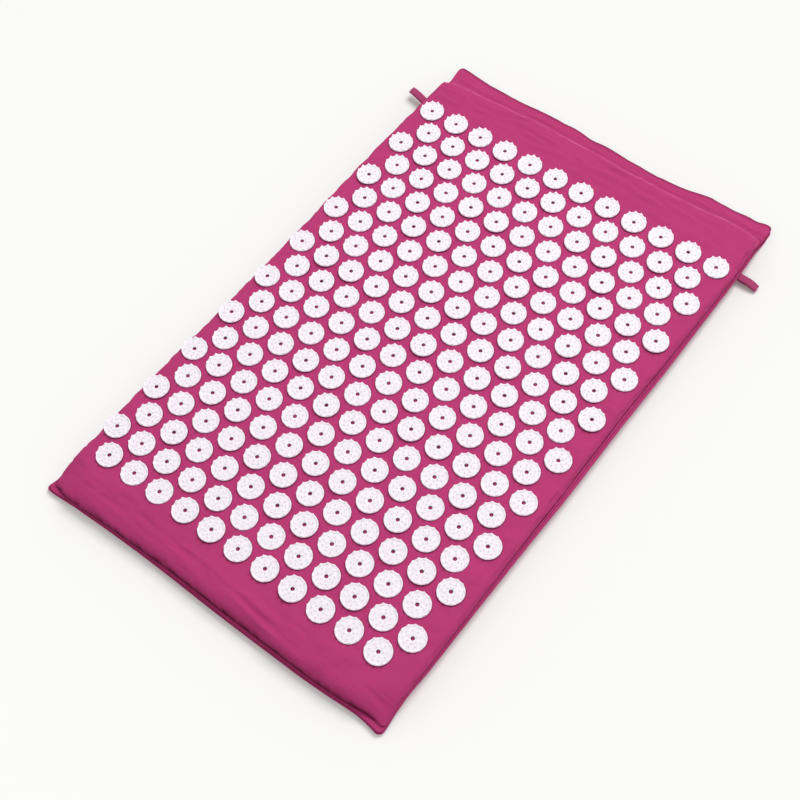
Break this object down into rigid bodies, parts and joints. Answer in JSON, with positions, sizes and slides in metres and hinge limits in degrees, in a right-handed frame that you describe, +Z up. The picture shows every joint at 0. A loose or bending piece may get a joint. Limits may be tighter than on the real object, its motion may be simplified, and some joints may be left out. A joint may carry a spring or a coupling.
{
  "type": "acupressure mat",
  "caption": "Foam mat in a sewn cotton cover with staggered rows of spiked plastic discs, a hook-and-loop closure flap at one end and a folded tape loop on each long side.",
  "frame": {"origin": "centre of the bounding box's bottom face, on the floor that the mat lies on", "axes": "+Y along the mat's length towards the closure flap, +Z up through the spiked discs, X across the mat with its middle line at X = 0"},
  "size_m": [0.442, 0.6542, 0.0265],
  "materials": {
    "cotton": "matte",
    "disc_plastic": "satin",
    "foam": "matte",
    "hook_tape": "satin",
    "loop_tape": "matte",
    "loop_webbing": "matte"
  },
  "bodies": {
    "mat": {"bottom_panel": "cotton", "foam_pad": "foam", "top_panel": "cotton", "lower_hem": "cotton", "loop_tape": "loop_tape", "disc_r01_c01": "disc_plastic", "disc_r01_c02": "disc_plastic", "disc_r01_c03": "disc_plastic", "disc_r01_c04": "disc_plastic", "disc_r01_c05": "disc_plastic", "disc_r01_c06": "disc_plastic", "disc_r01_c07": "disc_plastic", "disc_r01_c08": "disc_plastic", "disc_r01_c09": "disc_plastic", "disc_r01_c10": "disc_plastic", "disc_r01_c11": "disc_plastic", "disc_r02_c01": "disc_plastic", "disc_r02_c02": "disc_plastic", "disc_r02_c03": "disc_plastic", "disc_r02_c04": "disc_plastic", "disc_r02_c05": "disc_plastic", "disc_r02_c06": "disc_plastic", "disc_r02_c07": "disc_plastic", "disc_r02_c08": "disc_plastic", "disc_r02_c09": "disc_plastic", "disc_r02_c10": "disc_plastic", "disc_r02_c11": "disc_plastic", "disc_r02_c12": "disc_plastic", "disc_r03_c01": "disc_plastic", "disc_r03_c02": "disc_plastic", "disc_r03_c03": "disc_plastic", "disc_r03_c04": "disc_plastic", "disc_r03_c05": "disc_plastic", "disc_r03_c06": "disc_plastic", "disc_r03_c07": "disc_plastic", "disc_r03_c08": "disc_plastic", "disc_r03_c09": "disc_plastic", "disc_r03_c10": "disc_plastic", "disc_r03_c11": "disc_plastic", "disc_r04_c01": "disc_plastic", "disc_r04_c02": "disc_plastic", "disc_r04_c03": "disc_plastic", "disc_r04_c04": "disc_plastic", "disc_r04_c05": "disc_plastic", "disc_r04_c06": "disc_plastic", "disc_r04_c07": "disc_plastic", "disc_r04_c08": "disc_plastic", "disc_r04_c09": "disc_plastic", "disc_r04_c10": "disc_plastic", "disc_r04_c11": "disc_plastic", "disc_r04_c12": "disc_plastic"},
    "closure": {"closure_flap": "cotton", "hook_tape": "hook_tape"},
    "left_loop": {"side_loop_left": "loop_webbing"},
    "right_loop": {"side_loop_right": "loop_webbing"}
  },
  "joints": [
    {"name": "closure_hinge", "type": "hinge", "parent": "mat", "child": "closure", "pos_m": [0, 0.3069, 0.0057], "axis": [1, 0, 0], "range_deg": [0, 110]},
    {"name": "left_loop_hinge", "type": "hinge", "parent": "mat", "child": "left_loop", "pos_m": [-0.19758, 0.2545, 0.0075], "axis": [0, 1, 0], "range_deg": [0, 100]},
    {"name": "right_loop_hinge", "type": "hinge", "parent": "mat", "child": "right_loop", "pos_m": [0.19758, 0.2545, 0.0075], "axis": [0, -1, 0], "range_deg": [0, 100]}
  ]
}
